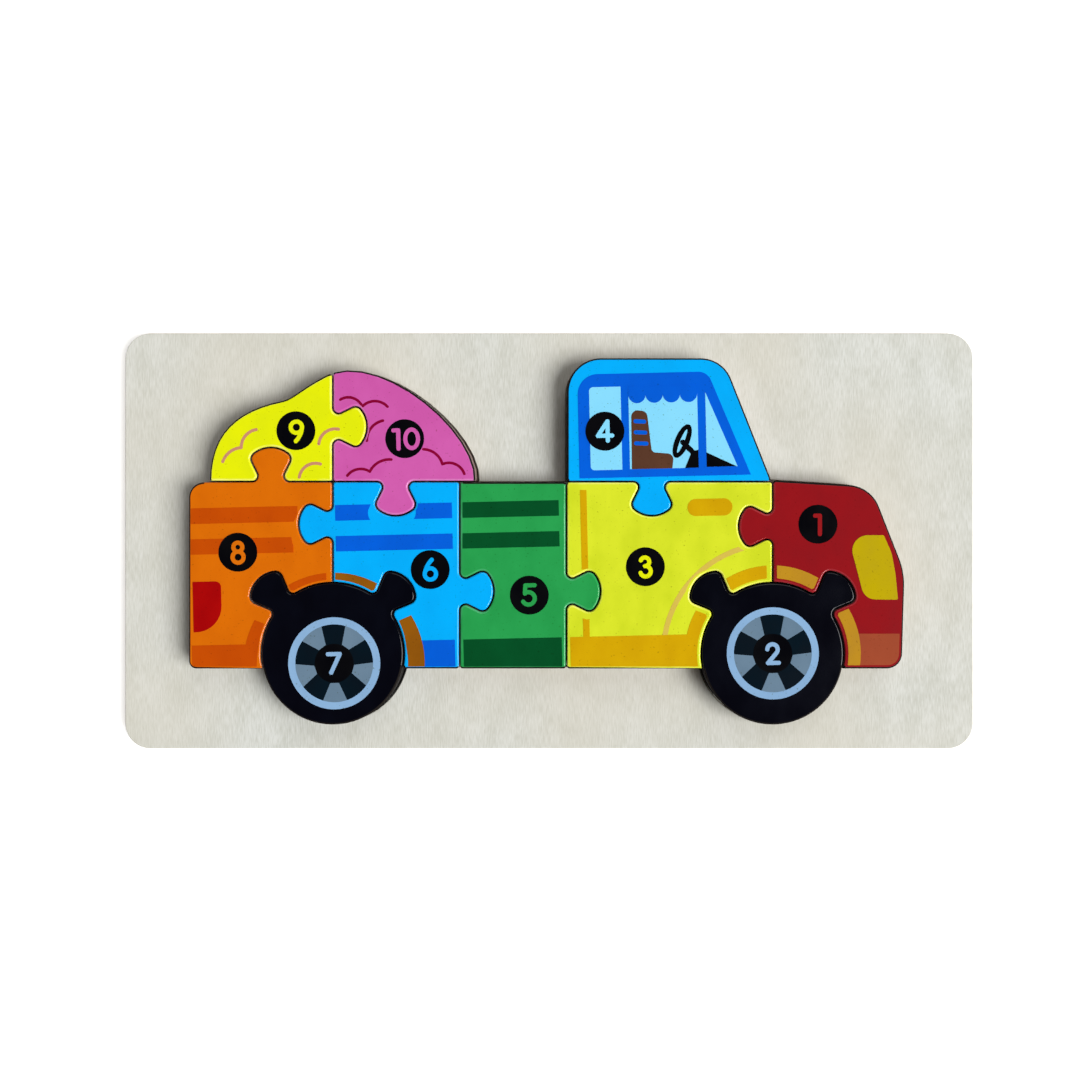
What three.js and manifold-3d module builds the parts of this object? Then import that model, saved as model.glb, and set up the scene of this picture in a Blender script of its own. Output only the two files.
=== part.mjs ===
// A truck tray jigsaw for small hands: a plywood tray, and ten thick pieces that interlock in its recess.
// Millimetres. +X runs to the truck's nose, +Y to its roof and +Z up out of the tray.
// The origin is the middle of the tray's underside.
import * as THREE from 'three';
import { mergeVertices } from 'three/addons/utils/BufferGeometryUtils.js';
import Module from 'manifold-3d';

// Thicknesses and fits
const backingThickness = 3;
const framePlateThickness = 3;
const pieceThickness = 12;
const kerf = 0.5; // saw cut between two pieces
const recessClearance = 0.5; // from a piece's outer edge to the frame plate
const seamCornerRadius = 1; // eased corner where two cuts meet
const chordTolerance = 0.02; // how far a facet may lie from its true arc

// Bare tray around the truck
const tailMargin = 25.4;
const noseMargin = 26.7;
const wheelMargin = 9.9;
const roofMargin = 9.9;
const trayCornerRadius = 9;

// Lengths of the truck's body pieces, from the tail to the nose
const tailLength = 49.9;
const rearPanelLength = 43.9;
const middlePanelLength = 36.9;
const doorLength = 71.3;
const hoodLength = 45.9;

// Heights of the truck
const tyreRadius = 24.7;
const sillBelowAxle = 5.3;
const bodyHeight = 64.9; // sill to deck
const cabHeight = 42.9; // deck to roof

// Round corners of the tail and the cab
const tailTopRadius = 5.5;
const tailFootRadius = 2.8;
const cabBackRadius = 12;
const cabRoofRadius = 11.5;
const screenLean = 17; // from the windscreen's foot back to the roof's front corner

// Hood and nose
const hoodTopLength = 34.2;
const hoodRise = 0.7; // of the hood's rear edge above the deck
const hoodDrop = 1.4; // of the hood's front corner below the deck
const hoodCornerRadius = 12;
const noseTipDrop = 31.2; // from the deck down to the foremost point
const noseTipRadius = 25;
const noseFootSetback = 1;
const noseFootRadius = 5.5;

// Heap of load on the bed
const heapSetback = 7.2; // from the tail's end
const heapOverhang = 5.8; // past the rear panel, over the middle panel
const heapCrestHeight = 37.9; // above the deck, at the cut between the two load pieces
const shoulderHeight = 28.2; // above the deck, of the lower hump at the rear
const shoulderReach = 32.6; // from the tail's end
const heapFootRadius = 0.8;
const heapCurveSteps = 12;

// Handles of the heap's curves: how far, and how steeply, each leaves its end
const rearFootRise = 17;
const shoulderRearRun = 16;
const shoulderFrontRun = 3.5;
const shoulderSlope = 0.2;
const crestRearRun = 9.3;
const crestRearSlope = 0.43;
const crestFrontRun = 18.8;
const crestFrontSlope = 0.32;
const frontFootRise = 17.2;
const frontFootBulge = 1;

// The knob that locks two pieces, the same on every cut
const knobNeckHalf = 4.5;
const knobHeadHalf = 6.85;
const knobDepth = 11.8;
const knobLipRadius = 2;
const knobCornerRadius = 2.5;
const knobTipRadius = 9.5;
const knobRoot = 3; // how far its outline runs back into its own piece

// Places of the knobs
const tailKnobReach = 28.5; // from the tail's end
const loadKnobRise = 19; // above the deck
const rearPanelKnobDrop = 14.7; // below the deck
const loadKnobReach = 21.7; // in front of the rear axle
const panelKnobRise = 27; // above the sill
const cabKnobReach = 29.5; // in front of the cab's back
const hoodKnobDrop = 15.5; // below the deck
const wheelKnobAngle = Math.PI / 4; // either side of straight up

// Lines of the truck that follow from these sizes
const truckLength = tailLength + rearPanelLength + middlePanelLength + doorLength + hoodLength;
const trayLength = tailMargin + truckLength + noseMargin;
const truckTop = bodyHeight - sillBelowAxle + Math.max(cabHeight, heapCrestHeight); // above the axles
const trayWidth = wheelMargin + tyreRadius + truckTop + roofMargin;
const tailX = tailMargin - trayLength / 2;
const rearAxleX = tailX + tailLength;
const panelSeamX = rearAxleX + rearPanelLength;
const cabBackX = panelSeamX + middlePanelLength;
const frontAxleX = cabBackX + doorLength;
const noseX = frontAxleX + hoodLength;
const axleY = wheelMargin + tyreRadius - trayWidth / 2;
const sillY = axleY - sillBelowAxle;
const deckY = sillY + bodyHeight;
const roofY = deckY + cabHeight;
const crestY = deckY + heapCrestHeight;

const wasm = await Module();
wasm.setup();

// Outlines are lists of points that run anticlockwise.

function arc(centre, radius, from, to) {
  const step = 2 * Math.acos(1 - chordTolerance / Math.max(radius, chordTolerance));
  const count = Math.max(2, Math.ceil(Math.abs(to - from) / step));
  const points = [];
  for (let i = 0; i <= count; i += 1) {
    const angle = from + ((to - from) * i) / count;
    points.push(new THREE.Vector2(Math.cos(angle), Math.sin(angle)).multiplyScalar(radius).add(centre));
  }
  return points;
}

function circle(x, y, radius) {
  return arc(new THREE.Vector2(x, y), radius, 0, 2 * Math.PI).slice(0, -1);
}

// Corners are [x, y, radius], and a corner with no radius is sharp.
function roundedOutline(corners) {
  return corners.flatMap(([x, y, radius], i) => {
    const corner = new THREE.Vector2(x, y);
    if (!radius) return [corner];
    const before = new THREE.Vector2(...corners.at(i - 1)).sub(corner).normalize();
    const after = new THREE.Vector2(...corners[(i + 1) % corners.length]).sub(corner).normalize();
    const inward = before.clone().add(after).normalize();
    const half = Math.acos(inward.dot(after));
    const centre = corner.clone().addScaledVector(inward, radius / Math.sin(half));
    const middle = inward.angle() + Math.PI;
    const sweep = Math.PI / 2 - half;
    return arc(centre, radius, middle - sweep, middle + sweep);
  });
}

// The inner points of a curve between two corners, as corners with no radius
function curve(...handles) {
  const points = handles.map(([x, y]) => new THREE.Vector2(x, y));
  const sampled = new THREE.CubicBezierCurve(...points).getPoints(heapCurveSteps);
  return sampled.slice(1, -1).map((p) => [p.x, p.y]);
}

// Moves every edge of an outline outwards, or inwards where the distance is negative.
function grow(outline, distance) {
  return outline.map((point, i) => {
    const before = point.clone().sub(outline.at(i - 1)).normalize();
    const after = outline[(i + 1) % outline.length].clone().sub(point).normalize();
    const outward = new THREE.Vector2(before.y + after.y, -before.x - after.x).normalize();
    return point.clone().addScaledVector(outward, distance / outward.cross(after));
  });
}

// A knob that points along +Y from a cut along X, or from the round cut of a tyre, grown by an outset
function knobOutline(outset, onTyre) {
  const lipX = knobNeckHalf + knobLipRadius;
  const lipTurn = onTyre ? Math.asin(lipX / (tyreRadius + knobLipRadius)) : 0;
  const tyreFall = tyreRadius * (1 - Math.cos(lipTurn));
  const lip = new THREE.Vector2(lipX, knobLipRadius * Math.cos(lipTurn) - tyreFall);
  const tip = new THREE.Vector2(0, knobDepth - knobTipRadius);
  const headX = knobHeadHalf - knobCornerRadius;
  const headRise = Math.sqrt((knobTipRadius - knobCornerRadius) ** 2 - headX ** 2);
  const head = new THREE.Vector2(headX, tip.y + headRise);
  const lipToHead = head.clone().sub(lip);
  const flank = lipToHead.angle() + Math.acos((knobLipRadius + knobCornerRadius) / lipToHead.length());
  const tipEdge = Math.atan2(headRise, headX);
  const right = [
    ...arc(lip, knobLipRadius - outset, -Math.PI / 2 - lipTurn, flank - 2 * Math.PI),
    ...arc(head, knobCornerRadius + outset, flank - Math.PI, tipEdge),
    ...arc(tip, knobTipRadius + outset, tipEdge, Math.PI / 2).slice(1),
  ];
  right.unshift(new THREE.Vector2(right[0].x, right[0].y - knobRoot));
  const left = right.slice(0, -1).reverse().map((p) => new THREE.Vector2(-p.x, p.y));
  return [...right, ...left];
}

function place(outline, x, y, heading) {
  const foot = new THREE.Vector2(x, y);
  const origin = new THREE.Vector2();
  return outline.map((p) => p.clone().rotateAround(origin, heading - Math.PI / 2).add(foot));
}

// The space that each piece has, up to the middle of the cuts around it
function regions(seamRadius) {
  const heapRearX = tailX + heapSetback;
  const heapFrontX = panelSeamX + heapOverhang;
  const shoulder = [tailX + shoulderReach, deckY + shoulderHeight];
  const crest = [rearAxleX, crestY];
  const shoulderFront = [shoulder[0] + shoulderFrontRun, shoulder[1] + shoulderFrontRun * shoulderSlope];
  const shoulderRear = [shoulder[0] - shoulderRearRun, shoulder[1] - shoulderRearRun * shoulderSlope];
  const crestRear = [rearAxleX - crestRearRun, crestY - crestRearRun * crestRearSlope];
  const crestFront = [rearAxleX + crestFrontRun, crestY + crestFrontRun * crestFrontSlope];
  return {
    tail: roundedOutline([
      [tailX, sillY, tailFootRadius],
      [rearAxleX, sillY],
      [rearAxleX, deckY, seamRadius],
      [tailX, deckY, tailTopRadius],
    ]),
    rear_panel: roundedOutline([
      [rearAxleX, sillY],
      [panelSeamX, sillY, seamRadius],
      [panelSeamX, deckY, seamRadius],
      [rearAxleX, deckY, seamRadius],
    ]),
    middle_panel: roundedOutline([
      [panelSeamX, sillY, seamRadius],
      [cabBackX, sillY, seamRadius],
      [cabBackX, deckY, seamRadius],
      [panelSeamX, deckY, seamRadius],
    ]),
    door: roundedOutline([
      [cabBackX, sillY, seamRadius],
      [frontAxleX, sillY],
      [frontAxleX, deckY, seamRadius],
      [cabBackX, deckY, seamRadius],
    ]),
    hood: roundedOutline([
      [frontAxleX, sillY],
      [noseX - noseFootSetback, sillY, noseFootRadius],
      [noseX, deckY - noseTipDrop, noseTipRadius],
      [frontAxleX + hoodTopLength, deckY - hoodDrop, hoodCornerRadius],
      [frontAxleX, deckY + hoodRise, seamRadius],
    ]),
    cab: roundedOutline([
      [cabBackX, deckY, seamRadius],
      [frontAxleX, deckY, seamRadius],
      [frontAxleX - screenLean, roofY, cabRoofRadius],
      [cabBackX, roofY, cabBackRadius],
    ]),
    rear_load: roundedOutline([
      [heapRearX, deckY, heapFootRadius],
      [rearAxleX, deckY, seamRadius],
      [...crest, seamRadius],
      ...curve(crest, crestRear, shoulderFront, shoulder),
      shoulder,
      ...curve(shoulder, shoulderRear, [heapRearX, deckY + rearFootRise], [heapRearX, deckY]),
    ]),
    front_load: roundedOutline([
      [rearAxleX, deckY, seamRadius],
      [heapFrontX, deckY, heapFootRadius],
      ...curve([heapFrontX, deckY], [heapFrontX + frontFootBulge, deckY + frontFootRise], crestFront, crest),
      [...crest, seamRadius],
    ]),
    rear_wheel: circle(rearAxleX, axleY, tyreRadius),
    front_wheel: circle(frontAxleX, axleY, tyreRadius),
  };
}

// Which piece each knob belongs to, which piece it locks into, and where its cut is
const right = 0;
const up = Math.PI / 2;
const left = Math.PI;
const down = -Math.PI / 2;
const knobs = [
  { of: 'tail', into: 'rear_load', x: tailX + tailKnobReach, y: deckY, heading: up },
  { of: 'rear_load', into: 'front_load', x: rearAxleX, y: deckY + loadKnobRise, heading: right },
  { of: 'rear_panel', into: 'tail', x: rearAxleX, y: deckY - rearPanelKnobDrop, heading: left },
  { of: 'front_load', into: 'rear_panel', x: rearAxleX + loadKnobReach, y: deckY, heading: down },
  { of: 'rear_panel', into: 'middle_panel', x: panelSeamX, y: sillY + panelKnobRise, heading: right },
  { of: 'middle_panel', into: 'door', x: cabBackX, y: sillY + panelKnobRise, heading: right },
  { of: 'cab', into: 'door', x: cabBackX + cabKnobReach, y: deckY, heading: down },
  { of: 'hood', into: 'door', x: frontAxleX, y: deckY - hoodKnobDrop, heading: left },
  wheelKnob('rear_wheel', 'tail', rearAxleX, up + wheelKnobAngle),
  wheelKnob('rear_wheel', 'rear_panel', rearAxleX, up - wheelKnobAngle),
  wheelKnob('front_wheel', 'door', frontAxleX, up + wheelKnobAngle),
  wheelKnob('front_wheel', 'hood', frontAxleX, up - wheelKnobAngle),
];

function wheelKnob(of, into, axleX, heading) {
  const x = axleX + tyreRadius * Math.cos(heading);
  const y = axleY + tyreRadius * Math.sin(heading);
  return { of, into, x, y, heading, onTyre: true };
}

// Solids

function plate(outline, thickness) {
  const geometry = new THREE.ExtrudeGeometry(new THREE.Shape(outline), { depth: thickness, bevelEnabled: false });
  geometry.deleteAttribute('normal');
  geometry.deleteAttribute('uv');
  const merged = mergeVertices(geometry);
  const vertProperties = new Float32Array(merged.attributes.position.array);
  const triVerts = new Uint32Array(merged.index.array);
  return new wasm.Manifold(new wasm.Mesh({ numProp: 3, vertProperties, triVerts }));
}

function cutOut(solid, outline, thickness) {
  return solid.subtract(plate(outline, 3 * thickness).translate(0, 0, -thickness));
}

function knobPlate(knob, outset) {
  return place(knobOutline(outset, knob.onTyre), knob.x, knob.y, knob.heading);
}

function piece(name) {
  const half = kerf / 2;
  const spaces = regions(seamCornerRadius);
  let solid = plate(grow(spaces[name], -half), pieceThickness);
  for (const knob of knobs) {
    if (knob.of === name) solid = solid.add(plate(knobPlate(knob, -half), pieceThickness));
    if (knob.into === name) solid = cutOut(solid, knobPlate(knob, half), pieceThickness);
  }
  for (const wheel of ['rear_wheel', 'front_wheel']) {
    if (wheel !== name) solid = cutOut(solid, grow(spaces[wheel], half), pieceThickness);
  }
  return solid;
}

function trayOutline() {
  const x = trayLength / 2;
  const y = trayWidth / 2;
  const corners = [[-x, -y], [x, -y], [x, y], [-x, y]];
  return roundedOutline(corners.map((corner) => [...corner, trayCornerRadius]));
}

function framePlate() {
  let solid = plate(trayOutline(), framePlateThickness);
  for (const space of Object.values(regions(0))) {
    solid = cutOut(solid, grow(space, recessClearance - kerf / 2), framePlateThickness);
  }
  return solid;
}

function mesh(name, solid, height, color, roughness) {
  const { vertProperties, triVerts } = solid.getMesh();
  const geometry = new THREE.BufferGeometry();
  geometry.setAttribute('position', new THREE.BufferAttribute(vertProperties, 3));
  geometry.setIndex(new THREE.BufferAttribute(triVerts, 1));
  geometry.computeVertexNormals();
  const made = new THREE.Mesh(geometry, new THREE.MeshStandardMaterial({ color, roughness, metalness: 0 }));
  made.name = name;
  made.position.z = height;
  return made;
}

const bareWoodRoughness = 0.7;
const lacquerRoughness = 0.35;
const pieceColours = {
  hood: '#a01a1c',
  front_wheel: '#0a0b12',
  door: '#e2e62a',
  cab: '#12a8f0',
  middle_panel: '#2ba052',
  rear_panel: '#10aef5',
  rear_wheel: '#0a0b12',
  tail: '#e06f0a',
  rear_load: '#ecee12',
  front_load: '#d465b0',
};

const puzzle = new THREE.Group();
puzzle.add(mesh('backing_plate', plate(trayOutline(), backingThickness), 0, '#e3dccb', bareWoodRoughness));
puzzle.add(mesh('frame_plate', framePlate(), backingThickness, '#e6dfcf', bareWoodRoughness));
for (const [name, colour] of Object.entries(pieceColours)) {
  puzzle.add(mesh(name, piece(name), backingThickness, colour, lacquerRoughness));
}

export default puzzle;
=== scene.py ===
import math

import bmesh
import bpy
import numpy as np
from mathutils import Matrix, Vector
from mathutils.bvhtree import BVHTree


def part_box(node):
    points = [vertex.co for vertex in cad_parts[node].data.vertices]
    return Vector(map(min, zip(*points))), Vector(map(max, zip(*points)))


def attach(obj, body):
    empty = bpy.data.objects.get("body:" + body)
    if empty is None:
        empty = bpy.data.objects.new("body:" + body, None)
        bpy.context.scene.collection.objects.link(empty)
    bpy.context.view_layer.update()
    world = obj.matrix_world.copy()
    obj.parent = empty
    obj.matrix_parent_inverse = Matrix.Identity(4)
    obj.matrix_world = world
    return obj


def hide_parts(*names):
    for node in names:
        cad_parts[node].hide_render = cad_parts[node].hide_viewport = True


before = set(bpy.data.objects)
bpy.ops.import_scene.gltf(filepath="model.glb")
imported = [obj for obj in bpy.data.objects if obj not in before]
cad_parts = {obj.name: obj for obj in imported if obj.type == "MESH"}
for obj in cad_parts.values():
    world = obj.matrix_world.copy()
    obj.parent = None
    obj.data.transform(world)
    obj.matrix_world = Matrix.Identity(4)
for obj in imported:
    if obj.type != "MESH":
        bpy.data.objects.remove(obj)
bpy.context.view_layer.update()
bpy.ops.object.select_all(action="DESELECT")
mm = 0.001
print("frame loaded:", len(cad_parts), "nodes")


# Camera, straight above the tray as in the photograph, standing a little right of and above the
# picture's middle
cameraView = {"place": (6.5, 8, 390), "middle": (-3, 0.5, 15), "lens": 36.19, "sensor": 36}   # mm

stand = Vector(cameraView["place"])
aside = Vector(cameraView["middle"]) - stand
bpy.ops.object.camera_add(location=stand * mm, rotation=(0, 0, 0))
camera = bpy.context.object
camera.data.lens = cameraView["lens"]
camera.data.sensor_width = cameraView["sensor"]
camera.data.shift_x = aside.x / -aside.z * cameraView["lens"] / cameraView["sensor"]
camera.data.shift_y = aside.y / -aside.z * cameraView["lens"] / cameraView["sensor"]
camera.data.dof.use_dof = False
bpy.context.scene.camera = camera
bpy.context.scene.view_settings.view_transform = "Standard"
print("camera set")


# Nodes and colours
def linear(hexColour):
    channels = [int(hexColour[i:i + 2], 16) / 255 for i in (1, 3, 5)]
    return [c / 12.92 if c <= 0.04045 else ((c + 0.055) / 1.055) ** 2.4 for c in channels] + [1]


def addNode(material, kind, inputs, **settings):
    tree = material.node_tree
    node = tree.nodes.new(kind)
    for name, value in settings.items():
        setattr(node, name, value)
    for socket, value in inputs.items():
        if isinstance(value, bpy.types.NodeSocket):
            tree.links.new(value, node.inputs[socket])
        else:
            node.inputs[socket].default_value = value
    return node


def newMaterial(name):
    material = bpy.data.materials.new(name)
    material.use_nodes = True
    material.node_tree.nodes.clear()
    return material


def perSize(*sizes):   # a Mapping scale that makes one unit of noise this many mm wide
    return [1 / (size * mm) for size in sizes]


def finishMaterial(material, shader):
    addNode(material, "ShaderNodeOutputMaterial", {"Surface": shader.outputs["BSDF"]})
    return material


# Bare basswood plywood, sanded: a pale matt face, faintly cloudy, with short fine flecks along the
# grain, and cut edges that show the plies, the middle ones darker because their grain is end on
basswood = {
    "pale": "#e1e2dc", "deep": "#cbccc2", "warm": "#d9d2c0", "pore": "#b8b2a2",
    "edgePale": "#cdb795", "edgeDeep": "#a98a63", "glue": "#6d5238",
    "fleck": (0.42, 3.6, 2), "cloud": (7, 15, 5), "pores": (0.35, 3, 2), "drift": (70, 90, 70),   # mm
    "ply": 1, "relief": 0.03,   # mm
    "roughness": 0.8, "gloss": 0.2,
}


def sandedBasswood(name, look=basswood):
    m = newMaterial(name)
    place = addNode(m, "ShaderNodeTexCoord", {}).outputs["Object"]
    surface = addNode(m, "ShaderNodeNewGeometry", {})
    noises = {}
    for key, detail in (("fleck", 2), ("cloud", 2), ("pores", 1), ("drift", 1)):
        scaled = addNode(m, "ShaderNodeMapping", {"Vector": place, "Scale": perSize(*look[key])})
        noises[key] = addNode(m, "ShaderNodeTexNoise", {
            "Vector": scaled.outputs[0], "Scale": 1, "Detail": detail}).outputs["Fac"]
    even = addNode(m, "ShaderNodeMix", {0: 0.35, 2: noises["fleck"], 3: noises["cloud"]}).outputs[0]
    flecks = addNode(m, "ShaderNodeMapRange", {
        "Value": even, "From Min": 0.37, "From Max": 0.63}).outputs[0]
    pores = addNode(m, "ShaderNodeMapRange", {
        "Value": noises["pores"], "From Min": 0.66, "From Max": 0.78, "To Max": 0.35}).outputs[0]
    drift = addNode(m, "ShaderNodeMapRange", {
        "Value": noises["drift"], "From Min": 0.35, "From Max": 0.7, "To Max": 0.5}).outputs[0]
    grain = addNode(m, "ShaderNodeMix", {
        0: flecks, 6: linear(look["deep"]), 7: linear(look["pale"])}, data_type="RGBA").outputs[2]
    grain = addNode(m, "ShaderNodeMix", {
        0: drift, 6: grain, 7: linear(look["warm"])}, data_type="RGBA").outputs[2]
    face = addNode(m, "ShaderNodeMix", {
        0: pores, 6: grain, 7: linear(look["pore"])}, data_type="RGBA").outputs[2]
    # plies, counted up from the underside
    height = addNode(m, "ShaderNodeSeparateXYZ", {"Vector": place}).outputs["Z"]
    plies = addNode(m, "ShaderNodeMath", {0: height, 1: look["ply"] * mm}, operation="DIVIDE").outputs[0]
    within = addNode(m, "ShaderNodeMath", {0: plies}, operation="FRACT").outputs[0]
    fromMiddle = addNode(m, "ShaderNodeMath", {0: within, 1: 0.5}, operation="SUBTRACT").outputs[0]
    fromMiddle = addNode(m, "ShaderNodeMath", {0: fromMiddle}, operation="ABSOLUTE").outputs[0]
    glue = addNode(m, "ShaderNodeMapRange", {
        "Value": fromMiddle, "From Min": 0.4, "From Max": 0.47, "To Max": 0.8}).outputs[0]
    every = addNode(m, "ShaderNodeMath", {0: plies, 1: 1}, operation="PINGPONG").outputs[0]
    edge = addNode(m, "ShaderNodeMix", {
        0: every, 6: linear(look["edgePale"]), 7: linear(look["edgeDeep"])}, data_type="RGBA").outputs[2]
    edge = addNode(m, "ShaderNodeMix", {
        0: glue, 6: edge, 7: linear(look["glue"])}, data_type="RGBA").outputs[2]
    upright = addNode(m, "ShaderNodeSeparateXYZ", {"Vector": surface.outputs["Normal"]}).outputs["Z"]
    upright = addNode(m, "ShaderNodeMath", {0: upright}, operation="ABSOLUTE").outputs[0]
    isFace = addNode(m, "ShaderNodeMapRange", {
        "Value": upright, "From Min": 0.35, "From Max": 0.7}).outputs[0]
    colour = addNode(m, "ShaderNodeMix", {0: isFace, 6: edge, 7: face}, data_type="RGBA").outputs[2]
    relief = addNode(m, "ShaderNodeBump", {
        "Height": noises["fleck"], "Strength": 0.3, "Distance": look["relief"] * mm}).outputs[0]
    return finishMaterial(m, addNode(m, "ShaderNodeBsdfPrincipled", {
        "Base Color": colour, "Roughness": look["roughness"], "IOR": 1.45,
        "Specular IOR Level": look["gloss"], "Normal": relief}))


# Laser-cut plywood edge: charred along the top and toasted to a brown grey, darkened downwards as painted
# shade where it goes down into the recess and the cuts, with fine upright burn lines over faint plies
cutEdge = {
    # foot: the wall's colour at its foot, darkened as painted shade of the recess; the plies are drawn in it
    # too
    "top": "#b8a39c", "foot": "#5d473b", "burn": "#3b2a21", "glue": "#4a372c", "soot": "#150e0a",
    "burnLine": (0.7, 0.7, 12), "smoke": (5, 5, 1.4), "ply": 1.7, "from": 3, "to": 15,   # mm
    "char": (1, 0.4), "relief": 0.04,   # mm, the char between these depths below the top
    "roughness": 0.7, "gloss": 0.15, "stain": 0.97,
}


def scorchedEdge(name, ink=None, look=cutEdge):   # ink: a stain over all of it
    m = newMaterial(name)
    place = addNode(m, "ShaderNodeTexCoord", {}).outputs["Object"]
    noises = {}
    for key in ("burnLine", "smoke"):
        scaled = addNode(m, "ShaderNodeMapping", {"Vector": place, "Scale": perSize(*look[key])})
        noises[key] = addNode(m, "ShaderNodeTexNoise", {
            "Vector": scaled.outputs[0], "Scale": 1, "Detail": 3}).outputs["Fac"]
    height = addNode(m, "ShaderNodeSeparateXYZ", {"Vector": place}).outputs["Z"]
    # darker towards the foot: painted shade where the wall goes down into the recess and the cuts
    depth = addNode(m, "ShaderNodeMapRange", {
        "Value": height, "From Min": look["to"] * mm, "From Max": look["from"] * mm}).outputs[0]
    colour = addNode(m, "ShaderNodeMix", {
        0: depth, 6: linear(look["top"]), 7: linear(look["foot"])}, data_type="RGBA").outputs[2]
    plies = addNode(m, "ShaderNodeMath", {0: height, 1: look["ply"] * mm}, operation="DIVIDE").outputs[0]
    every = addNode(m, "ShaderNodeMath", {0: plies, 1: 1}, operation="PINGPONG").outputs[0]
    every = addNode(m, "ShaderNodeMapRange", {
        "Value": every, "From Min": 0.45, "From Max": 0.55, "To Max": 0.4}).outputs[0]
    colour = addNode(m, "ShaderNodeMix", {
        0: every, 6: colour, 7: linear(look["foot"])}, data_type="RGBA").outputs[2]
    within = addNode(m, "ShaderNodeMath", {0: plies, 1: 0.5}, operation="PINGPONG").outputs[0]
    glue = addNode(m, "ShaderNodeMapRange", {
        "Value": within, "From Min": 0.44, "From Max": 0.48, "To Max": 0.5}).outputs[0]
    colour = addNode(m, "ShaderNodeMix", {
        0: glue, 6: colour, 7: linear(look["glue"])}, data_type="RGBA").outputs[2]
    burn = addNode(m, "ShaderNodeMapRange", {
        "Value": noises["burnLine"], "From Min": 0.45, "From Max": 0.75, "To Max": 0.22}).outputs[0]
    colour = addNode(m, "ShaderNodeMix", {
        0: burn, 6: colour, 7: linear(look["burn"])}, data_type="RGBA").outputs[2]
    smoke = addNode(m, "ShaderNodeMapRange", {
        "Value": noises["smoke"], "From Min": 0.4, "From Max": 0.7, "To Max": 0.25}).outputs[0]
    colour = addNode(m, "ShaderNodeMix", {
        0: smoke, 6: colour, 7: linear(look["burn"])}, data_type="RGBA").outputs[2]
    char = addNode(m, "ShaderNodeMapRange", {
        "Value": height, "To Max": 0.9, "From Min": (look["to"] - look["char"][0]) * mm,
        "From Max": (look["to"] - look["char"][1]) * mm}).outputs[0]
    colour = addNode(m, "ShaderNodeMix", {
        0: char, 6: colour, 7: linear(look["soot"])}, data_type="RGBA").outputs[2]
    if ink:
        colour = addNode(m, "ShaderNodeMix", {
            0: look["stain"], 6: colour, 7: linear(ink)}, data_type="RGBA").outputs[2]
    relief = addNode(m, "ShaderNodeBump", {
        "Height": noises["burnLine"], "Strength": 0.5, "Distance": look["relief"] * mm}).outputs[0]
    return finishMaterial(m, addNode(m, "ShaderNodeBsdfPrincipled", {
        "Base Color": colour, "Roughness": look["roughness"], "IOR": 1.45,
        "Specular IOR Level": look["gloss"], "Normal": relief}))


# Screen-printed basswood under clear lacquer: even glossy colour, a little cloudy where the wood
# drank more ink, with the grain just felt and a few specks of dust
lacquer = {
    "cloud": (9, 13, 9), "grain": (0.6, 22, 4), "peel": (1.1, 1.1, 1.1), "dust": (0.55, 0.55, 0.55),   # mm
    "relief": 0.012,   # mm
    "roughness": (0.1, 0.15), "gloss": 0.35, "speck": "#d2ceb8",
}


def lacqueredPrint(name, face, shade, look=lacquer):
    m = newMaterial(name)
    place = addNode(m, "ShaderNodeTexCoord", {}).outputs["Object"]
    noises = {}
    for key, detail in (("cloud", 3), ("grain", 3), ("peel", 1), ("dust", 0)):
        scaled = addNode(m, "ShaderNodeMapping", {"Vector": place, "Scale": perSize(*look[key])})
        noises[key] = addNode(m, "ShaderNodeTexNoise", {
            "Vector": scaled.outputs[0], "Scale": 1, "Detail": detail}).outputs["Fac"]
    cloud = addNode(m, "ShaderNodeMapRange", {
        "Value": noises["cloud"], "From Min": 0.35, "From Max": 0.65}).outputs[0]
    grain = addNode(m, "ShaderNodeMapRange", {
        "Value": noises["grain"], "From Min": 0.5, "From Max": 0.75, "To Max": 0.35}).outputs[0]
    patchy = addNode(m, "ShaderNodeMath", {0: cloud, 1: grain}, operation="MAXIMUM").outputs[0]
    colour = addNode(m, "ShaderNodeMix", {
        0: patchy, 6: linear(face), 7: linear(shade)}, data_type="RGBA").outputs[2]
    specks = addNode(m, "ShaderNodeMapRange", {
        "Value": noises["dust"], "From Min": 0.78, "From Max": 0.83}).outputs[0]
    colour = addNode(m, "ShaderNodeMix", {
        0: specks, 6: colour, 7: linear(look["speck"])}, data_type="RGBA", blend_type="MULTIPLY").outputs[2]
    roughness = addNode(m, "ShaderNodeMapRange", {
        "Value": noises["cloud"], "From Min": 0.3, "From Max": 0.7,
        "To Min": look["roughness"][0], "To Max": look["roughness"][1]}).outputs[0]
    relief = addNode(m, "ShaderNodeBump", {
        "Height": noises["grain"], "Strength": 0.2, "Distance": look["relief"] * mm}).outputs[0]
    relief = addNode(m, "ShaderNodeBump", {
        "Height": noises["peel"], "Strength": 0.12, "Distance": look["relief"] * mm,
        "Normal": relief}).outputs[0]
    return finishMaterial(m, addNode(m, "ShaderNodeBsdfPrincipled", {
        "Base Color": colour, "Roughness": roughness, "IOR": 1.5, "Specular IOR Level": look["gloss"],
        "Normal": relief}))


bareWood = sandedBasswood("sanded_basswood")
edgeWood = scorchedEdge("laser_cut_ply_edge")
inkedEdge = scorchedEdge("laser_cut_ply_edge_inked", "#08080b")
# near-black rim: laser burn on its steep faces, and along the tray painted shade of the gap and contact
# shadow at the recess
burntAndShadedRim = scorchedEdge("laser_burnt_rim_and_painted_shade", "#120c09")
print("wood materials made")


# The tray's heights and edges, and helpers that work on one object at a time
tray = {
    "backing": (0, 3), "frame": (3, 6), "middle": 4.5, "near": 1.3, "outerEase": 0.4, "glueLine": 0.12,   # mm
}
facing = {"wall": 0.15, "top": 0.3, "flat": 0.99}   # how far up a face looks, as its normal's Z


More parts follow.
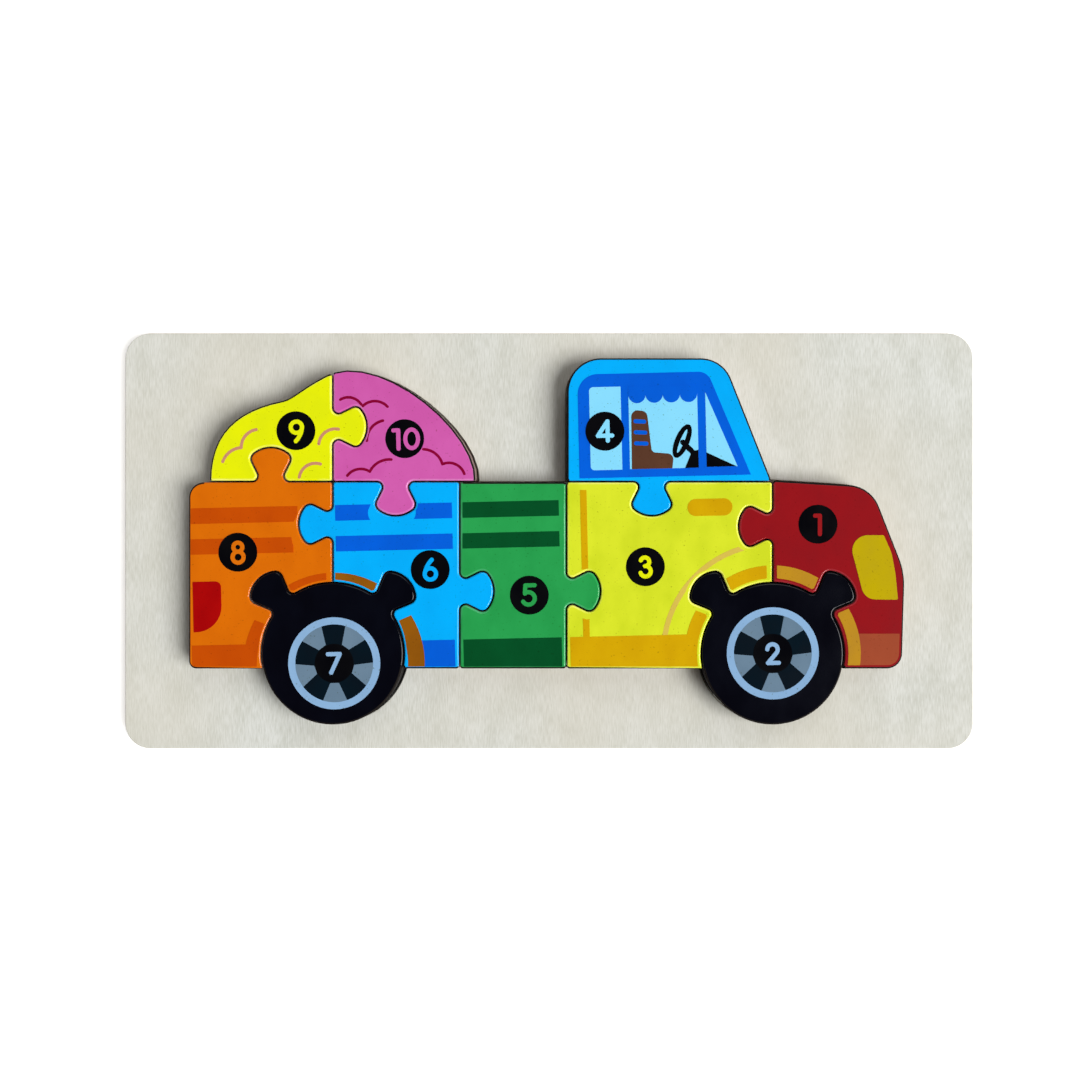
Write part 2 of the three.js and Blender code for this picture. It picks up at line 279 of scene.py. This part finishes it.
def only(piece):
    bpy.ops.object.select_all(action="DESELECT")
    piece.select_set(True)
    bpy.context.view_layer.objects.active = piece
    return piece


def newObject(name, data):
    piece = bpy.data.objects.new(name, data)
    bpy.context.scene.collection.objects.link(piece)
    return only(piece)


def discard(piece):
    data = piece.data
    bpy.data.objects.remove(piece)
    bpy.data.meshes.remove(data)


def copyOfNode(name, node):   # a CAD node's shape as a new piece, with its loose triangles merged
    piece = newObject(name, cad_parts[node].data.copy())
    piece.data.name = name
    piece.data.materials.clear()
    bpy.ops.mesh.customdata_custom_splitnormals_clear()
    bpy.ops.object.mode_set(mode="EDIT")
    bpy.ops.mesh.select_all(action="SELECT")
    bpy.ops.mesh.remove_doubles(threshold=0.001 * mm)
    bpy.ops.mesh.dissolve_limited(angle_limit=math.radians(0.4))
    bpy.ops.object.mode_set(mode="OBJECT")
    return piece


recess = BVHTree.FromObject(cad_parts["frame_plate"], bpy.context.evaluated_depsgraph_get())


def alongRecess(place):   # whether a place on a piece's edge faces the tray, and not another piece
    return recess.find_nearest(Vector((place.x, place.y, tray["middle"] * mm)))[3] < tray["near"] * mm


def drawTogether(piece, height, width):   # closes up what a rounded rim turned over at sharp corners
    shape = bmesh.from_edit_mesh(piece.data)
    shape.normal_update()
    heights = [vertex.co.z for vertex in shape.verts]
    outward = 1 if height * mm > (min(heights) + max(heights)) / 2 else -1
    rim = [face for face in shape.faces if abs(face.calc_center_median().z - height * mm) < width * mm]
    folded = {face for face in rim if face.normal.z * outward < -0.01}
    edges = [edge for edge in shape.edges if folded.intersection(edge.link_faces)]
    bmesh.ops.collapse(shape, edges=edges)
    bmesh.update_edit_mesh(piece.data)


def easeRims(piece, rims, segments):   # rims: heights in mm and how far each is rounded over
    only(piece)
    for height, width in rims:
        bpy.ops.object.mode_set(mode="EDIT")
        bpy.ops.mesh.select_mode(type="EDGE")
        bpy.ops.mesh.select_all(action="DESELECT")
        shape = bmesh.from_edit_mesh(piece.data)
        for edge in shape.edges:
            edge.select = all(abs(v.co.z - height * mm) < 0.01 * mm for v in edge.verts)
        bmesh.update_edit_mesh(piece.data)
        bpy.ops.mesh.bevel(offset=width * mm, segments=segments, affect="EDGES")
        drawTogether(piece, height, width)
        bpy.ops.object.mode_set(mode="OBJECT")


def paintFaces(piece, top, wall, bottom, rim=None):   # the rim is laser burnt, and along the tray it is darkened over its whole width as painted shade of the gap into the recess
    for material in (top, wall, bottom, rim or top):
        piece.data.materials.append(material)
    for face in piece.data.polygons:
        up = face.normal.z
        # along the tray the whole rim is painted dark, standing in for the shaded gap into the recess
        reach = facing["flat"] if alongRecess(face.center) else facing["top"]
        burntAndShaded = rim and facing["wall"] < up < reach
        face.material_index = 3 if burntAndShaded else 0 if up > facing["top"] else 2 if up < -facing["top"] else 1
    only(piece)
    bpy.ops.object.shade_smooth_by_angle(angle=math.radians(40))
    piece.modifiers.new("flatTops", "WEIGHTED_NORMAL").keep_sharp = True   # keeps the broad faces flat
    bpy.ops.object.modifier_apply(modifier="flatTops")


# Tray: two glued plates with sanded edges
for node, (foot, top) in (("backing_plate", tray["backing"]), ("frame_plate", tray["frame"])):
    plate = copyOfNode(node + "_sanded", node)
    outside = top if node == "frame_plate" else foot
    inside = foot if node == "frame_plate" else top
    easeRims(plate, ((outside, tray["outerEase"]), (inside, tray["glueLine"])), 3)
    paintFaces(plate, bareWood, bareWood, bareWood)
    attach(plate, "tray")
    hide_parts(node)
print("tray made")


# The drawing that is printed over the pieces. It is one truck, drawn upright in mm from its front
# axle, but laid on a little askew to the cuts, so every place below is in the drawing's own frame
drawing = {
    "tyreRadius": 24.7, "askew": 1.3, "cutMargin": 1.2, "rimMargin": 0.75, "arcStep": 5,
    "inkSunk": 0.02, "inkLift": 0.03,   # mm
    "blank": (0, 1), "stencil": (-1, 2), "trim": (-2, 3),   # mm, heights while the print is cut out
}
wheelLow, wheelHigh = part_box("front_wheel")
axle = Vector(((wheelLow.x + wheelHigh.x) / 2 / mm, wheelLow.y / mm + drawing["tyreRadius"]))
pieceTop = wheelHigh.z / mm
pieceFoot = wheelLow.z / mm


def turned(points, degrees):
    c = math.cos(math.radians(degrees))
    s = math.sin(math.radians(degrees))
    return [(x * c - y * s, x * s + y * c) for x, y in points]


def moved(shape, place):
    return [[(x + place[0], y + place[1]) for x, y in loop] for loop in shape]


# Outlines: a shape is a list of closed loops, the first its outside and the rest its holes
def arc(centre, radius, start, end, squeeze=1):
    count = max(2, math.ceil(abs(end - start) / drawing["arcStep"]))
    angles = [math.radians(start + (end - start) * i / count) for i in range(count + 1)]
    return [(centre[0] + radius * squeeze * math.cos(a), centre[1] + radius * math.sin(a)) for a in angles]


def disc(centre, radius):
    return [arc(centre, radius, 0, 360)[:-1]]


def ring(centre, outer, inner):
    return disc(centre, outer) + disc(centre, inner)


def rectangle(left, bottom, right, top):
    return [[(left, bottom), (right, bottom), (right, top), (left, top)]]


def rounded(corners):   # corners as x, y, radius
    loop = []
    for i, (x, y, radius) in enumerate(corners):
        corner = Vector((x, y))
        before = (Vector(corners[i - 1][:2]) - corner).normalized()
        after = (Vector(corners[(i + 1) % len(corners)][:2]) - corner).normalized()
        if not radius:
            loop.append((x, y))
            continue
        half = before.angle(after) / 2
        reach = radius / math.tan(half)
        middle = corner + (before + after).normalized() * radius / math.sin(half)
        first = corner + before * reach - middle
        last = corner + after * reach - middle
        start = math.degrees(math.atan2(first.y, first.x))
        sweep = math.degrees(math.atan2(first.x * last.y - first.y * last.x, first.dot(last)))
        loop += arc(middle, radius, start, start + sweep)
    return [loop]


def bar(left, bottom, right, top, radius):
    return rounded([(x, y, radius) for x, y in rectangle(left, bottom, right, top)[0]])


def arcThrough(a, b, c):   # the arc from a to c by way of b
    ax, ay, bx, by, cx, cy = *a, *b, *c
    d = 2 * (ax * (by - cy) + bx * (cy - ay) + cx * (ay - by))
    aa, bb, cc = (x * x + y * y for x, y in (a, b, c))
    ux = (aa * (by - cy) + bb * (cy - ay) + cc * (ay - by)) / d
    uy = (aa * (cx - bx) + bb * (ax - cx) + cc * (bx - ax)) / d
    angles = [math.degrees(math.atan2(y - uy, x - ux)) for x, y in (a, b, c)]
    toB = (angles[1] - angles[0]) % 360
    toC = (angles[2] - angles[0]) % 360
    sweep = toC if toB < toC else toC - 360
    return arc((ux, uy), math.hypot(ax - ux, ay - uy), angles[0], angles[0] + sweep)


def stroke(path, width):   # a pen line with round ends
    left, right = [], []
    points = [Vector(p) for p in path]
    for i, point in enumerate(points):
        along = (points[min(i + 1, len(points) - 1)] - points[max(i - 1, 0)]).normalized()
        side = Vector((-along.y, along.x)) * width / 2
        left.append(tuple(point + side))
        right.append(tuple(point - side))
    loop = []
    for side, end, inner in ((right, points[-1], points[-2]), (left[::-1], points[0], points[1])):
        along = end - inner
        heading = math.degrees(math.atan2(along.y, along.x))
        loop += side + arc(end, width / 2, heading - 90, heading + 90)[1:-1]
    return [loop]


# Printing: shapes become thin solid layers of ink, kept inside the piece they are printed on
def prism(name, shape, bottom, top):
    flat = bpy.data.curves.new(name, "CURVE")
    flat.dimensions = "2D"
    flat.fill_mode = "BOTH"
    flat.extrude = (top - bottom) / 2 * mm
    for loop in shape:
        line = flat.splines.new("POLY")
        line.points.add(len(loop) - 1)
        for point, (x, y) in zip(line.points, loop):
            point.co = ((x + axle.x) * mm, (y + axle.y) * mm, 0, 1)
        line.use_cyclic_u = True
    piece = newObject(name, flat)
    bpy.ops.object.convert(target="MESH")
    bpy.ops.object.mode_set(mode="EDIT")
    bpy.ops.mesh.select_all(action="SELECT")
    bpy.ops.mesh.remove_doubles(threshold=0.001 * mm)
    bpy.ops.mesh.normals_make_consistent(inside=False)
    bpy.ops.transform.translate(value=(0, 0, (top + bottom) / 2 * mm))
    bpy.ops.object.mode_set(mode="OBJECT")
    return piece


def combine(piece, other, operation):
    only(piece)
    change = piece.modifiers.new("change", "BOOLEAN")
    change.operation = operation
    change.solver = "MANIFOLD"
    change.object = other
    bpy.ops.object.modifier_apply(modifier="change")


def joined(parts, name):
    bpy.ops.object.select_all(action="DESELECT")
    for part in parts:
        part.select_set(True)
    bpy.context.view_layer.objects.active = parts[0]
    if len(parts) > 1:
        bpy.ops.object.join()
    parts[0].name = name
    parts[0].data.name = name
    return parts[0]


def topOutline(piece):   # the edge of the top face, in the drawing's millimetres
    top = max(piece.data.polygons, key=lambda face: (round(face.center.z / mm, 3), face.area))
    corners = [piece.data.vertices[i].co for i in top.vertices]
    return [(c.x / mm - axle.x, c.y / mm - axle.y) for c in corners]


def insetOutline(outline, margin, step=0.25, slack=0.995, straight=0.01):   # drawn in by a margin, mm
    corners = np.array(outline)
    runs = np.roll(corners, -1, axis=0) - corners
    lengths = np.hypot(*runs.T)
    inward = np.stack((-runs[:, 1], runs[:, 0]), axis=1) / lengths[:, None]
    kept = []
    for start, run, length, normal in zip(corners, runs, lengths, inward):
        count = max(1, math.ceil(length / step))
        for i in range(count):
            point = start + run * (i + 0.5) / count + normal * margin
            t = np.clip(((point - corners) * runs).sum(axis=1) / lengths ** 2, 0, 1)
            gaps = np.hypot(*(corners + runs * t[:, None] - point).T)
            if gaps.min() > margin * slack:
                kept.append(Vector(point))
    slim = [kept[0]]   # without the points along straight runs
    for point, after in zip(kept[1:], kept[2:] + kept[:1]):
        along = after - slim[-1]
        if abs(along.cross(point - slim[-1])) > straight * along.length:
            slim.append(point)
    return [tuple(point) for point in slim]


def makeStencil(outline, askew):
    drawn = turned(insetOutline(outline, drawing["cutMargin"]), askew)
    stencil = prism("stencil", [drawn], *drawing["stencil"])
    trim = prism("trim", [insetOutline(outline, drawing["rimMargin"])], *drawing["trim"])
    combine(stencil, trim, "INTERSECT")
    discard(trim)
    return stencil


def layDown(layer, ink, level):   # as a thin layer on a piece's top
    low = (pieceTop - drawing["inkSunk"]) * mm
    high = (pieceTop + drawing["inkLift"] * level) * mm
    middle = sum(drawing["blank"]) / 2 * mm
    for vertex in layer.data.vertices:
        vertex.co.z = high if vertex.co.z > middle else low
    layer.data.materials.clear()
    layer.data.materials.append(ink)
    return layer


def inkLayer(name, shapes, ink, level, stencil, askew):
    drawn = [[turned(loop, askew) for loop in shape] for shape in shapes]
    parts = [prism(name, shape, *drawing["blank"]) for shape in drawn]
    layer = parts[0]
    for part in parts[1:]:
        combine(layer, part, "UNION")
        discard(part)
    combine(layer, stencil, "INTERSECT")
    return layDown(layer, ink, level)


# Inks, each with a second tone for its cloudy patches
inks = {
    "black": ("#000004", "#050508"), "burnt_orange": ("#ca4f00", "#c34a00"),
    "signal_red": ("#ae0404", "#a10003"), "sky_blue": ("#02aefc", "#01a9f6"),
    "royal_blue": ("#0161df", "#015cd6"), "arch_brown": ("#96590a", "#8c5208"),
    "deep_green": ("#025126", "#014b22"), "leaf_green": ("#2ca34f", "#27994a"),
    "amber": ("#d8aa02", "#d0a000"), "peach": ("#dcc153", "#d6ba4c"),
    "lemon": ("#e9f006", "#e2ea08"), "pale_blue": ("#8adeff", "#86dbfd"),
    "crimson": ("#8c0036", "#84002f"), "tan": ("#cf9272", "#c98b6a"),
    "ochre": ("#c3ab02", "#bda508"), "rust": ("#a64d30", "#a0482c"),
    "ochre_arch": ("#c3901f", "#bb8922"), "rim_blue": ("#8fb6dc", "#88aed4"),
    "slate_blue": ("#667f94", "#6c859a"), "wheel_dark": ("#02141f", "#04111b"),
    "pink": ("#d35eae", "#cd58a8"), "red": ("#9c1a1f", "#951519"),
    "orange": ("#e07208", "#da6c04"), "saddle_brown": ("#5f3d2c", "#563626"),
}
inkMaterials = {name: lacqueredPrint("screen_ink_" + name, *tones) for name, tones in inks.items()}
print("inks made:", len(inkMaterials))


# Numbers: one pen width, digits built of strokes about their own middle
numbers = {"disc": 6.7, "pen": 1.45, "pair": (-2.85, 2.4)}   # mm
pen = numbers["pen"]


def hoop(centre, radius):   # a pen line all the way round
    return ring(centre, radius + pen / 2, radius - pen / 2)


digits = {
    "0": [[arc((0, -0.1), 3.2 + pen / 2, 0, 360, 0.74)[:-1],
           arc((0, -0.1), 3.2 - pen / 2, 0, 360, 0.6)[:-1]]],
    "1": [stroke([(-1, 2.95), (0.65, 2.95)], pen), stroke([(0.65, 2.95), (0.65, -3.4)], pen)],
    "2": [stroke(arc((-0.1, 1.35), 1.8, 178, -42) + [(-1.75, -3.3)], pen),
          stroke([(-1.75, -3.3), (2, -3.3)], pen)],
    "3": [stroke(arc((-0.15, 1.72), 1.5, 160, -90), pen), stroke(arc((0, -1.55), 1.8, 95, -163), pen)],
    "4": [stroke([(0.9, 3.4), (-2.5, -1.55)], pen), stroke([(-2.5, -1.55), (2.45, -1.55)], pen),
          stroke([(0.9, 3.4), (0.9, -3.3)], pen)],
    "5": [stroke([(-1.3, 3.4), (1.9, 3.4)], pen), stroke([(-1.3, 3.4), (-1.5, 0.6)], pen),
          stroke(arc((-0.3, -1.1), 2.15, 125, -150), pen)],
    "6": [hoop((0, -1.5), 1.95), stroke(arcThrough((0.6, 3.4), (-1.15, 1), (-1.95, -1.5)), pen)],
    "7": [stroke([(-2.1, 3.2), (2, 3.2)], pen), stroke([(2, 3.2), (-1.1, -3.2)], pen)],
    "8": [hoop((0.05, 1.75), 1.55), hoop((0.05, -1.7), 1.9)],
    "9": [hoop((0.2, 1.2), 1.95), stroke(arcThrough((2.15, 1.2), (1.5, -1.3), (-0.1, -3.6)), pen)],
}


def numberLayers(text, place, ink):
    shapes = []
    for digit, aside in zip(text, numbers["pair"] if len(text) > 1 else [0]):
        shapes += [moved(shape, (place[0] + aside, place[1])) for shape in digits[digit]]
    return [("black", [disc(place, numbers["disc"])]), (ink, shapes)]


# Puzzle pieces: a lacquered top with an eased rim, laser-cut walls and a bare underside
# the pale band inside the eased rim is a painted highlight, given here by its width
pieceEase = {"top": 0.6, "foot": 0.3, "highlightEdge": 0.7, "segments": 4}   # mm


def puzzlePiece(node, look, layers):
    piece = copyOfNode(node + "_piece", node)
    outline = topOutline(piece)
    easeRims(piece, ((pieceTop, pieceEase["top"]), (pieceFoot, pieceEase["foot"])), pieceEase["segments"])
    face = lacqueredPrint("lacquered_basswood_" + node, look["face"], look["shade"])
    made = []
    if "highlightEdge" in look:   # the colour stops short of a thin pale edge, a painted highlight along the rim
        flood = prism(node + "_ink", [insetOutline(outline, pieceEase["highlightEdge"])], *drawing["blank"])
        made.append(layDown(flood, face, 1))
        face = lacqueredPrint("painted_highlight_lacquer_edge_" + node, look["highlightEdge"], look["face"])
    paintFaces(piece, face, look.get("edge", edgeWood), bareWood, burntAndShadedRim)
    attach(piece, node)
    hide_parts(node)
    askew = look.get("askew", drawing["askew"])
    stencil = makeStencil(outline, askew)
    made += [inkLayer(node + "_ink", shapes, inkMaterials[ink], level, stencil, askew)
             for level, (ink, shapes) in enumerate(layers, 2)]
    discard(stencil)
    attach(joined(made, node + "_print"), node)
    print("piece made:", node)


# What runs across several pieces
body = {
    "stripes": ((49.2, 54.6), (38.6, 43.9)), "skirt": (-230, -40, 60, 7.2), "wheelbase": 151.5,
    "rearArch": 31.3, "frontArch": 30.4, "archInner": 18,   # mm, the arches as radii
}
skirt = rectangle(*body["skirt"])
rearAxle = (-body["wheelbase"], 0)
frontAxle = (0, 0)
rearArch = ring(rearAxle, body["rearArch"], body["archInner"])
frontArch = ring(frontAxle, body["frontArch"], body["archInner"])


def stripesFrom(left, *rights):   # the right ends of the upper and the lower stripe
    return [rectangle(left, low, right, high) for (low, high), right in zip(body["stripes"], rights)]


tail = {
    "slot": "orange_lacquer", "face": "#e07003", "shade": "#d96a02",
    "number": (-183.9, 39.1), "stripes": (-210, -163, -164.7),
    "light": (-199.8, 11.8, -190, 29.2), "lightCorner": 2, "lightSweep": 8.9,
}
left, bottom, right, top = tail["light"]
tailLight = rounded([
    (left, bottom, 0), (right, bottom, tail["lightSweep"]),
    (right, top, tail["lightCorner"]), (left, top, 0)])
puzzlePiece("tail", tail, [
    ("burnt_orange", stripesFrom(*tail["stripes"]) + [skirt, rearArch]),
    ("signal_red", [tailLight]),
    *numberLayers("8", tail["number"], "orange")])

rearPanel = {
    "slot": "blue_lacquer", "face": "#01b2ff", "shade": "#01acf9",
    "number": (-117.6, 31.6), "stripes": (-150, -100, -100),
}
puzzlePiece("rear_panel", rearPanel, [
    ("royal_blue", stripesFrom(*rearPanel["stripes"]) + [skirt]),
    ("arch_brown", [rearArch]),
    *numberLayers("6", rearPanel["number"], "sky_blue")])

middlePanel = {
    "slot": "green_lacquer", "face": "#2aa351", "shade": "#259b4b", "highlightEdge": "#4fb274",
    "number": (-83.6, 22), "stripes": (-108, -65, -65),
}
puzzlePiece("middle_panel", middlePanel, [
    ("deep_green", stripesFrom(*middlePanel["stripes"]) + [skirt]),
    *numberLayers("5", middlePanel["number"], "leaf_green")])

door = {
    "slot": "yellow_lacquer", "face": "#dee92c", "shade": "#d1de24", "highlightEdge": "#f6f76a",
    "number": (-43.3, 30.9), "line": (-65.3, -63.05), "lineParts": ((30.4, 58.7), (0, 14.1)),
    "handle": (-28.3, 48, -12.8, 53.9), "handleCorner": 2.9,
    "crease": 37.75, "creaseWidth": 1.8, "creaseFrom": 104.5, "creaseTo": 169.5,   # mm, mm, degrees
}
crease = stroke(arc(frontAxle, door["crease"], door["creaseFrom"], door["creaseTo"]), door["creaseWidth"])
doorLines = [rectangle(door["line"][0], low, door["line"][1], high) for low, high in door["lineParts"]]
handle = bar(*door["handle"], door["handleCorner"])
puzzlePiece("door", door, [
    ("peach", [crease]),
    ("amber", [skirt, frontArch, handle] + doorLines),
    *numberLayers("3", door["number"], "lemon")])

hood = {
    "slot": "red_lacquer", "face": "#97131a", "shade": "#8f1119", "highlightEdge": "#a8323a",
    "askew": 0, "number": (15.6, 44.6), "bumper": (0, -40, 60, 6.8),
    "lamp": (
        (25.9, 40.8, 5.3), (38.3, 40.8, 0.4), (41, 34.8, 12),
        (42.4, 27.2, 30), (43.2, 18.5, 0.5), (31.7, 18.7, 4.8)),
}
puzzlePiece("hood", hood, [
    ("rust", [rectangle(*hood["bumper"])]),
    ("ochre_arch", [frontArch]),
    ("ochre", [rounded(hood["lamp"])]),
    *numberLayers("1", hood["number"], "red")])

cab = {
    "slot": "blue_lacquer", "face": "#01b1ff", "shade": "#01abf8", "number": (-56.2, 78),
    "frame": ((-65.35, 61.9, 0), (-6.15, 61.9, 0), (-20.4, 97.8, 4.6), (-65.35, 97.8, 7)),
    "rearWindow": ((-61.4, 64.6, 1.4), (-50.5, 64.6, 0), (-50.5, 93.3, 0), (-61.4, 93.3, 1.4)),
    "sideWindow": (-47.85, 64.7, -24.1, 93.3),
    "quarterWindow": ((-21.3, 64.9, 0), (-10.7, 64.9, 0), (-21.3, 90.7, 0)),
    "dash": ((-21.3, 64.9, 0), (-11, 64.9, 0), (-21.3, 69.9, 0)),
    "seat": (
        (-47.2, 64.7, 0), (-33.2, 64.7, 0), (-32.6, 69.6, 2),
        (-40.2, 70.4, 1.6), (-41.6, 84.6, 2.2), (-47, 85.2, 2.2)),
    "ribs": (
        ((-45.6, 73.6), (-42, 73.4)), ((-45.6, 77.4), (-42.3, 77.2)), ((-45.6, 81.2), (-42.6, 81))),
    "rib": 1.4, "scallops": 4, "scallopY": 90.4,
    "wheelAt": (-29.6, 74), "wheelSize": (6.2, 0.4), "wheelRim": 1.8, "wheelSlim": 2.4, "wheelLean": -24,
    "column": ((-29.4, 73.6), (-25, 69)),
    "shelf": ((-28.8, 64.7, 0), (-24.1, 64.7, 0), (-24.1, 70.9, 0), (-26.4, 70.2, 1.2)),
}
glass = [rounded(cab["rearWindow"]), rectangle(*cab["sideWindow"]), rounded(cab["quarterWindow"])]
left, bottom, right, top = cab["sideWindow"]
scallop = (right - left) / cab["scallops"]
blind = [rectangle(left, cab["scallopY"], right, top)]
blind += [disc((left + scallop * (i + 0.5), cab["scallopY"]), scallop / 2) for i in range(cab["scallops"])]
tall, squeeze = cab["wheelSize"]
slim = squeeze / cab["wheelSlim"]   # the hole's share of its height
wheelRing = [
    arc((0, 0), tall, 0, 360, squeeze)[:-1],
    arc((0, 0), tall - cab["wheelRim"], 0, 360, slim)[:-1]]
steering = moved([turned(loop, cab["wheelLean"]) for loop in wheelRing], cab["wheelAt"])
controls = [rounded(cab["dash"]), rounded(cab["shelf"]), steering, stroke(cab["column"], cab["wheelRim"])]
puzzlePiece("cab", cab, [
    ("royal_blue", [rounded(cab["frame"])]),
    ("pale_blue", glass),
    ("saddle_brown", [rounded(cab["seat"])]),
    ("royal_blue", blind + [stroke(rib, cab["rib"]) for rib in cab["ribs"]]),
    ("black", controls),
    *numberLayers("4", cab["number"], "pale_blue")])

rearLoad = {
    "slot": "yellow_lacquer", "face": "#ecf205", "shade": "#e4ec0a", "highlightEdge": "#f8f97e",
    "number": (-162.9, 80.6), "pen": 1.05,
    "folds": (
        ((-188.4, 70.5), (-185.6, 74), (-181.9, 75.2)), ((-181.9, 75.2), (-180.6, 79), (-176.6, 81.3)),
        ((-155.1, 75.9), (-152.7, 79.9), (-148.2, 80.8)), ((-162.1, 64.5), (-159.9, 68.1), (-154.7, 68.9))),
}
frontLoad = {
    "slot": "pink_lacquer", "face": "#d45fb0", "shade": "#ce58a9", "highlightEdge": "#e08cc6",
    "number": (-125.4, 77), "pen": 0.95,
    "folds": (
        ((-147.3, 91), (-143.5, 91.6), (-139.8, 88.4)), ((-139.8, 88.4), (-135.9, 90.2), (-131.1, 88.2)),
        ((-132.8, 83.4), (-137.2, 80.6), (-138.5, 76.6)), ((-145.5, 64.7), (-141.2, 66.9), (-137.7, 65.9)),
        ((-137.7, 65.9), (-134.3, 69.2), (-130.2, 69.9)), ((-119, 73.2), (-114.9, 71.6), (-112.6, 67.9)),
        ((-112.6, 67.9), (-108.6, 68), (-105.1, 64.4))),
}
for node, look, text, foldInk, numberInk in (
        ("rear_load", rearLoad, "9", "tan", "lemon"), ("front_load", frontLoad, "10", "crimson", "pink")):
    folds = [stroke(arcThrough(*fold), look["pen"]) for fold in look["folds"]]
    puzzlePiece(node, look, [(foldInk, folds), *numberLayers(text, look["number"], numberInk)])

wheel = {
    "slot": "black_lacquer", "face": "#000008", "shade": "#02030e", "edge": inkedEdge,
    "rimOuter": 15.9, "rimInner": 13.45, "tuck": 0.5, "bladeFoot": (1.5, 6.8),   # mm
    "blades": 5, "bladeSpread": 18,   # degrees
}
for node, middle, text in (("front_wheel", frontAxle, "2"), ("rear_wheel", rearAxle, "7")):
    half, foot = wheel["bladeFoot"]
    blade = [(-half, -foot), (half, -foot)]
    blade += arc((0, 0), wheel["rimInner"], wheel["bladeSpread"] - 90, -wheel["bladeSpread"] - 90)
    blade.reverse()
    blades = [moved([turned(blade, 360 / wheel["blades"] * i)], middle) for i in range(wheel["blades"])]
    puzzlePiece(node, wheel, [
        ("wheel_dark", [disc(middle, wheel["rimOuter"] - wheel["tuck"])]),
        ("slate_blue", blades),
        ("rim_blue", [ring(middle, wheel["rimOuter"], wheel["rimInner"])]),
        *numberLayers(text, middle, "rim_blue")])


# Floor and soft studio light, none of it overhead, where the gloss would send it to the camera
studio = {
    "floor": "#f7f7f5", "floorSize": 12, "glow": 0.55,
    "walls": 0.85, "ceiling": 0.07, "wallFoot": 0.05, "wallTop": 0.4,   # the rise as a sine
    "lamps": ((-20, 46, 12, 7.6, 1790), (70, 42, 5, 3.3, 48)),   # degrees round and up, m off and across, W
}
bpy.ops.mesh.primitive_plane_add(size=studio["floorSize"], location=(0, 0, 0))
floor = bpy.context.object
floor.name = "floor"
paper = newMaterial("matt_white_paper")
floor.data.materials.append(finishMaterial(paper, addNode(paper, "ShaderNodeBsdfPrincipled", {
    "Base Color": linear(studio["floor"]), "Roughness": 0.9, "Specular IOR Level": 0.1,
    "Emission Color": (1, 1, 1, 1), "Emission Strength": studio["glow"]})))
for azimuth, elevation, distance, size, watts in studio["lamps"]:
    a = math.radians(azimuth)
    e = math.radians(elevation)
    towards = Vector((math.cos(a) * math.cos(e), math.sin(a) * math.cos(e), math.sin(e)))
    bpy.ops.object.light_add(type="AREA", location=towards * distance)
    lamp = bpy.context.object
    lamp.rotation_euler = towards.to_track_quat("Z", "Y").to_euler()
    lamp.data.size = size
    lamp.data.energy = watts
world = bpy.data.worlds.new("pale_walls_under_a_dark_ceiling")
world.use_nodes = True
outlook = addNode(world, "ShaderNodeTexCoord", {}).outputs["Generated"]
rise = addNode(world, "ShaderNodeSeparateXYZ", {"Vector": outlook}).outputs["Z"]
glow = addNode(world, "ShaderNodeMapRange", {
    "Value": rise, "From Min": studio["wallFoot"], "From Max": studio["wallTop"],
    "To Min": studio["walls"], "To Max": studio["ceiling"]}).outputs[0]
background = world.node_tree.nodes["Background"]
background.inputs["Color"].default_value = (1, 1, 1, 1)
world.node_tree.links.new(glow, background.inputs["Strength"])
bpy.context.scene.world = world
print("studio set")
